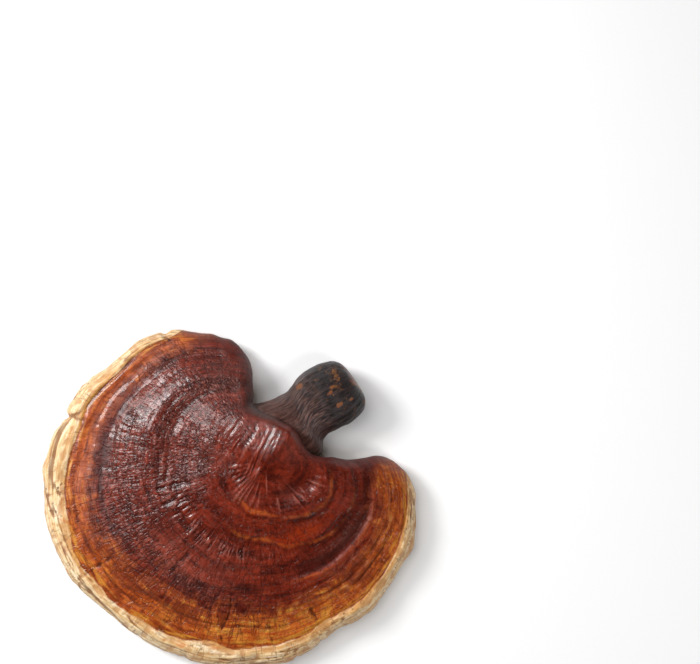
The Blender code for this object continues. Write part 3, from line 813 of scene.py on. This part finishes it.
def crustMaterial():
    m = Mixer(bpy.data.materials.new("lacqueredCrust"), **crustColours)
    growth, fan = m.fact("growth", "Vector"), m.fact("fan", "Vector")
    names = ("fanShare", "band", "relief", "warmthAndShade", "turning", "distance", "weave", "underShare")
    fanShare, band, relief, warmthAndShade, turning, distance, weave, under = map(m.fact, names)
    place = m.add("TexCoord").outputs["Object"]
    rings = m.noise(growth, (3, 3, 26), 6, 0.7, 0.4)
    thinRings = m.noise(growth, (9, 9, 95), 4, 0.65)
    clouds = m.noise(growth, (10, 10, 12), 6, 0.65, 0.8)
    specks = m.noise(growth, (44, 44, 46), 4, 0.7)
    flow = m.noise(growth, (9, 9, 44), 4, 0.6, 0.35)

    def hairLines(near, far, fanned, *texture):
        # hair-thin lines that run outwards, at a pitch for near the start and one for far, and a fan of
        # them on the knob; the numbers are how often they change along their length
        outer = m.noise(growth, (100, 100, far), *texture)
        outwards = m.mix((distance, 30, 50), m.noise(growth, (70, 70, near), *texture), outer)
        return m.mix(fanShare, outwards, m.noise(fan, (90, 90, fanned), *texture))

    hairs = hairLines(20, 22, 14, 4, 0.7, 0.3)
    ridges = hairLines(13, 15, 9, 1)
    broadHairs = m.mix(fanShare, m.noise(growth, (30, 30, 3), 5, 0.7), m.noise(fan, (34, 34, 4), 5, 0.7))
    # long fine seams, outwards and round, where stretched noise passes its middle value
    outwards = m.math("SUBTRACT", m.noise(growth, (24, 24, 4), 2, 0.6), 0.5)
    around = m.math("SUBTRACT", m.noise(growth, (4, 4, 30), 2, 0.6), 0.5)
    seams = m.most((m.math("ABSOLUTE", outwards), 0.03, 0.006),
                   (m.math("ABSOLUTE", around), 0.022, 0.004, 0.8))
    seams = m.times(seams, (distance, 8, 22))
    # crackled lacquer: cells about as long as they are wide, with thin gaps between them
    crackle = m.cells(m.bent(m.scale(growth, (26, 26, 38)), 1.8), 1.0, "DISTANCE_TO_EDGE")

    # painted glints: a pale pink lies on the tops of ridges and hairs, most of all where the lacquer is
    # crackled, and on patches of spore dust that also carry a painted sheen
    glintsAndDust = m.times(m.times((hairs, 0.47, 0.34), (clouds, 0.4, 0.6)), (weave, 0.1, 0.9, 0.7, 0.15))
    glintsAndDust = m.most(glintsAndDust, (relief, 0.02, 0.15, 0.4))
    glintsAndDust = m.most(glintsAndDust, m.times(m.fact("dustAndSheen"), (hairs, 0.56, 0.42, 0.42, 0.08)))
    glow = m.times(m.fact("glow"), (clouds, 0.35, 0.6, 1.0, 0.3))
    # crust: dark to red-brown by rings and clouds, then warmer patches and darker ones that are mostly
    # painted shade, hairs, rings, painted glints with some dust, gaps and seams, and orange brinks that are
    # partly painted highlight, over painted shade below the steps
    depth = m.mix((weave, 0.1, 0.5, 0.45, 0.2), rings, clouds)
    crust = m.tinted(m.ramp(depth, [(0.34, "deep"), (0.44, "mahogany"), (0.58, "redBrown")]), [
        ("warm", m.times((warmthAndShade, 0.0, 0.9), (clouds, 0.25, 0.6))),
        # painted shade in the troughs and valleys, with some darker crust
        ("dusky", (warmthAndShade, 0.0, -1.0, 0.75)),
        ("deep", (broadHairs, 0.5, 0.7, 0.4)),
        ("deep", (hairs, 0.5, 0.72, 0.5)),
        ("redBrown", (hairs, 0.46, 0.3, 0.35)),
        ("deep", (thinRings, 0.52, 0.66, 0.4)),
        ("redBrown", (thinRings, 0.47, 0.34, 0.3)),
        # painted glints, with some spore dust
        ("bloom", glintsAndDust),
        ("deep", m.times((crackle, 0.08, 0.0), (weave, 0.2, 0.8, 0.6))),
        ("deep", m.times(seams, (weave, 0.1, 0.5, 0.7, 0.35))),
        ("edgeOrange", (glow, 0.05, 0.9, 0.7)),
        ("deep", (m.fact("shade"), 0.15, 1.2, 0.65)),
    ])

    # chestnut, then amber: rust to orange to ochre, clouded and running along the rings
    ragged = m.stray(rings, 2.4, m.stray(clouds, 4.0, turning))
    ragged = m.plus(outwards, (weave, 0.1, 0.6, 4.0, 0.8), ragged)
    ragged = m.plus(around, (weave, 0.1, 0.6, 4.0, 1.5), ragged)
    sunny = m.plus(clouds, 0.35, m.math("ADD", m.times(flow, 0.4), m.times(specks, 0.25)))
    sunny = m.plus(m.math("SUBTRACT", m.fact("ochre"), 0.6), 0.11, sunny)
    sunny = m.plus(outwards, 0.16, sunny)
    amber = m.ramp(sunny, [(0.4, "rust"), (0.48, "orange"), (0.54, "amber"), (0.64, "ochre")])
    # dark hairs cross dark rings over both, with blotches and streaks
    turned = m.span(ragged, -1.6, -0.4)
    grid = m.most((hairs, 0.52, 0.66, 0.6), (thinRings, 0.52, 0.64, 0.55))
    grid = m.most(grid, m.times((crackle, 0.09, 0.0), (weave, 0.1, 0.6, 0.5, 0.1)))
    grid = m.most(grid, m.times(seams, (weave, 0.1, 0.5, 0.8, 0.35)))
    blotches = m.times((m.noise(growth, (12, 12, 20), 5, 0.7, 0.5), 0.5, 0.6), (weave, 0.1, 0.5, 0.8, 0.15))
    creamBand = m.stray(clouds, 0.3, band)
    colour = m.tinted(crust, [
        ("chestnut", (ragged, -1.3, 0.2, 0.9)),
        (amber, (ragged, -0.4, 0.9, 1.0)),
        ("seam", m.times(grid, turned)),
        ("rust", m.times(m.times(blotches, (ragged, 3.4, 0.8)), turned)),
        ("mahogany", m.times(m.times((rings, 0.5, 0.62, 0.35), (ragged, 1.6, -0.2)), turned)),
        ("gold", m.times((creamBand, 1.7, 1.9), (flow, 0.44, 0.62, 0.8))),  # a line along the cream
    ])

    # cream, layered along the margin, tan towards the rim, smeared, stained, seamed and pitted
    layered = m.math("ADD", m.times(thinRings, 0.5), m.times(flow, 0.5))
    smears = m.times((m.noise(growth, (5, 5, 30), 4, 0.6, 0.5), 0.47, 0.56), (creamBand, 2.55, 2.05))
    pits = m.span(m.cells(m.scale(place, (1, 1, 0.3)), 420), 0.3, 0.16)
    isPit = m.times(pits, m.times(m.fact("pitted"), (specks, 0.5, 0.6)))
    cream = m.ramp(layered, [(0.38, "bone"), (0.47, "cream"), (0.55, "straw"), (0.66, "tan")])
    cream = m.tinted(cream, [
        ("tan", (m.stray(specks, 1.6, band), 2.7, 3.2, 0.45)),
        ("tan", (m.math("ADD", hairs, specks), 1.06, 1.3, 0.6)),
        ("tan", (creamBand, 2.4, 2.0, 0.35)),
        ("gold", m.times(smears, 0.7)),
        ("tan", m.times(m.fact("tanned"), (specks, 0.35, 0.65))),
        ("amber", (m.noise(growth, (16, 16, 24), 5, 0.72, 0.6), 0.55, 0.64, 0.5)),
        ("pith", m.times(seams, (clouds, 0.45, 0.6, 0.6))),
        ("pith", m.times(isPit, 0.9)),
    ])
    isCream = m.span(creamBand, 1.97, 2.07)
    line = m.times((creamBand, 1.91, 1.98), (creamBand, 2.06, 2.0))
    # a rusty line where the cream begins, partly painted shade in its groove, then painted shade in the
    # hollows and cracks; painted shade darkens the crust as it turns over the edge, and the crust browns
    # where it runs into the stem
    rim = m.times(m.fact("rim"), m.math("SUBTRACT", 1.0, isCream))
    rooted = m.span(m.stray(clouds, 1.2, m.fact("root")), 0.1, 0.9)
    colour = m.tinted(colour, [
        (cream, isCream),
        ("rust", m.times(line, (rings, 0.38, 0.6, 0.8, 0.1))),
        (m.mix(isCream, "deep", "tan"), (relief, -0.01, -0.16, 0.65)),
        (m.mix(isCream, "deep", "pith"), (m.fact("crack"), 0.06, 0.5, 0.75)),
        ("mahogany", m.times(rim, (band, 1.2, 0.8, 0.4, 0.1))),
        (m.mix((hairs, 0.38, 0.66), "rootDark", "rootPale"), m.times(rooted, 0.92)),
    ])
    # pore surface: tan, with fine round pores
    pores = m.cells(place, 2600)
    poreColour = m.mix((pores, 0.15, 0.5), "poreBrown", "poreTan")
    poreColour = m.mix((m.noise(place, (60, 60, 60)), 0.4, 0.7, 0.5), poreColour, "poreStain")

    # lacquer on the crust, none on the cream margin or the pores
    matt = m.most(m.most(isCream, under), rooted)
    rough = m.plus(m.fact("dull"), 0.28, (clouds, 0.3, 0.7, 0.3, 0.18))
    rough = m.plus(rim, 0.25, m.plus(weave, 0.1, rough))
    shiny = m.times((matt, 1.0, 0.0), (weave, 0.2, 0.9, 0.1, 0.3))
    # the hairs and thin rings stand up most on the crust; pores, pits and seams are sunk
    lines = m.math("ADD", m.times(ridges, 0.7), m.times(thinRings, 0.3))
    normal = m.bump(m.times(lines, m.most(weave, (matt, 0.0, 1.0, 0.5))), 0.0004)
    pillows = m.times((crackle, 0.0, 0.25), (matt, 0.0, 1.0, 0.0, 1.0))
    normal = m.bump(m.times(pillows, weave), 0.0001, normal)
    sunk = m.plus((pores, 0.1, 0.45), under, m.times(isPit, -1.5))
    sunk = m.plus(m.times(seams, (matt, 1.0, 0.0)), -0.6, sunk)
    m.fill(m.tree.nodes["Principled BSDF"], {
        "Base Color": m.mix(under, colour, poreColour),
        "Roughness": m.mix(matt, rough, (0.6, 0.6, 0.6, 1)),
        "Coat Weight": m.times(shiny, (rim, 1.0, 0.0)),
        "Coat Roughness": 0.09,
        "Normal": m.bump(sunk, 0.0002, normal),
    })
    return m.owner


stemColours = dict(  # screen colours
    black=(24, 19, 20), charcoal=(52, 44, 44), brown=(68, 45, 41), worn=(126, 92, 82), root=(92, 52, 42),
    fleck=(160, 104, 58), cut=(170, 104, 44), cutRed=(110, 48, 30),
)


def stemMaterial():
    m = Mixer(bpy.data.materials.new("darkStemCrust"), **stemColours)
    fibre = m.fact("fibre", "Vector")
    toEnd, relief = m.fact("toEnd"), m.fact("relief")
    place = m.add("TexCoord").outputs["Object"]
    fibres = m.noise(fibre, (24, 24, 5), 6, 0.72, 0.3)
    threads = m.noise(fibre, (64, 64, 9), 3, 0.7, 0.3)
    patches = m.noise(place, (170, 170, 170), 5, 0.66)
    specks = m.noise(place, (620, 620, 620), 3, 0.7)
    # near black and grey towards the end, browner and redder towards the cap, in fibres and threads
    strands = m.math("ADD", m.times(fibres, 0.55), m.times(threads, 0.45))
    nearCap = m.ramp(strands, [(0.44, "black"), (0.5, "brown"), (0.56, "worn")])
    nearEnd = m.ramp(strands, [(0.44, "black"), (0.54, "charcoal"), (0.62, "brown")])
    net = m.times(m.fact("net"), (m.math("ADD", patches, specks), 1.0, 1.16))
    brown = m.tinted(m.mix((toEnd, 0.15, 0.5), nearCap, nearEnd), [
        ("root", (toEnd, 0.05, -0.3, 0.55)),
        # painted shade in the hollows between the fibres, and the ridges paler
        ("black", (relief, 0.0, -0.14, 0.75)),
        ("worn", (relief, 0.06, 0.2, 0.45)),
        # bare tan spots with ragged rims, a mottled net of tan, stray flecks, and the cut end, worn tan
        # and red-brown round its rim
        (m.mix(patches, "cutRed", "fleck"), (m.stray(specks, 3.0, m.fact("spots")), 0.5, 1.1, 0.85)),
        ("fleck", m.times(net, 0.75)),
        ("fleck", m.times((specks, 0.62, 0.68), (toEnd, 0.2, 0.7, 0.6, 0.1))),
        (m.mix((m.fact("across"), -0.2, 0.3), "cutRed", "cut"),
         m.times((toEnd, 0.9, 0.965), (patches, 0.4, 0.56))),
    ])
    m.fill(m.tree.nodes["Principled BSDF"], {
        "Base Color": brown,
        "Roughness": m.span(strands, 0.3, 0.7, 0.42, 0.28),
        "Coat Weight": 0.15,
        "Coat Roughness": 0.3,
        "Normal": m.bump(strands, 0.0012),
    })
    return m.owner


# floor, light and camera

studio = dict(
    floor=3.0,
    paper={"Base Color": (0.86, 0.86, 0.86, 1), "Roughness": 0.9, "Specular IOR Level": 0.1},
    air=0.46,  # strength of the light that comes from everywhere
    # what gloss mirrors: between these two heights, this strength of ceiling replaces that of the walls
    walls=(0.3, 0.6, 0.04, 0.34),
    lights=[
        # name, place, size, watts, whether gloss mirrors it
        ("softbox", (-0.455, -0.11, 0.42), 0.24, 3.5, True),
        ("skylight", (-0.24, 0.02, 0.62), 0.5, 2.4, False),
        ("fill", (0.36, 0.08, 0.58), 0.3, 1.7, False),
    ],
    cameraAt=(-0.01055, 0.0676, 0.6656),
    cameraTurn=45,
    lens=100,
)


def makeStudio():
    half = studio["floor"] / 2
    mesh = bpy.data.meshes.new("floor")
    corners = [(-half, -half, 0), (half, -half, 0), (half, half, 0), (-half, half, 0)]
    mesh.from_pydata(corners, [], [(0, 1, 2, 3)])
    m = Mixer(bpy.data.materials.new("floorPaper"))
    m.fill(m.tree.nodes["Principled BSDF"], studio["paper"])
    mesh.materials.append(m.owner)
    floor = placed("floor", mesh)

    # even light for plain surfaces; bright walls and a dark ceiling for lacquer, which keeps its colour
    m = Mixer(bpy.data.worlds.new("studioAir"))
    height = m.fill(m.add("SeparateXYZ"), {0: m.add("TexCoord").outputs["Generated"]}, "Z")
    mirrored = m.add("LightPath").outputs["Is Glossy Ray"]
    strength = m.fill(m.add("Mix"), {0: mirrored, 2: studio["air"], 3: m.span(height, *studio["walls"])})
    m.fill(m.tree.nodes["Background"], {"Strength": strength})
    bpy.context.scene.world = m.owner

    for name, place, size, watts, mirrored in studio["lights"]:
        lamp = bpy.data.lights.new(name, "AREA")
        lamp.shape = "DISK"
        lamp.size = size
        lamp.energy = watts
        light = placed(name, lamp)
        light.location = place
        light.visible_glossy = mirrored
        light.rotation_euler = (-light.location).to_track_quat("-Z", "Y").to_euler()

    camera = placed("camera", bpy.data.cameras.new("camera"))
    camera.data.lens = studio["lens"]
    camera.location = studio["cameraAt"]
    camera.rotation_euler = (0, 0, math.radians(studio["cameraTurn"]))
    bpy.context.scene.camera = camera
    bpy.context.scene.view_settings.view_transform = "Standard"
    print("studio: floor, lights and camera")


def main():
    capLow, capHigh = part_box("cap")
    edge = smoothLoop(capMesh["edge"], capMesh["columns"])
    # the outline's middle goes where the CAD cap's is
    origin = [((capLow[i] + capHigh[i]) / mm - edge[:, i].min() - edge[:, i].max()) / 2 for i in (0, 1)]
    cap = makeCap(origin)
    cap.data.materials.append(crustMaterial())
    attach(cap, "root")
    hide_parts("cap")
    stem = makeStem(origin)
    stem.data.materials.append(stemMaterial())
    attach(stem, "root")
    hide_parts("stem")
    makeStudio()


main()
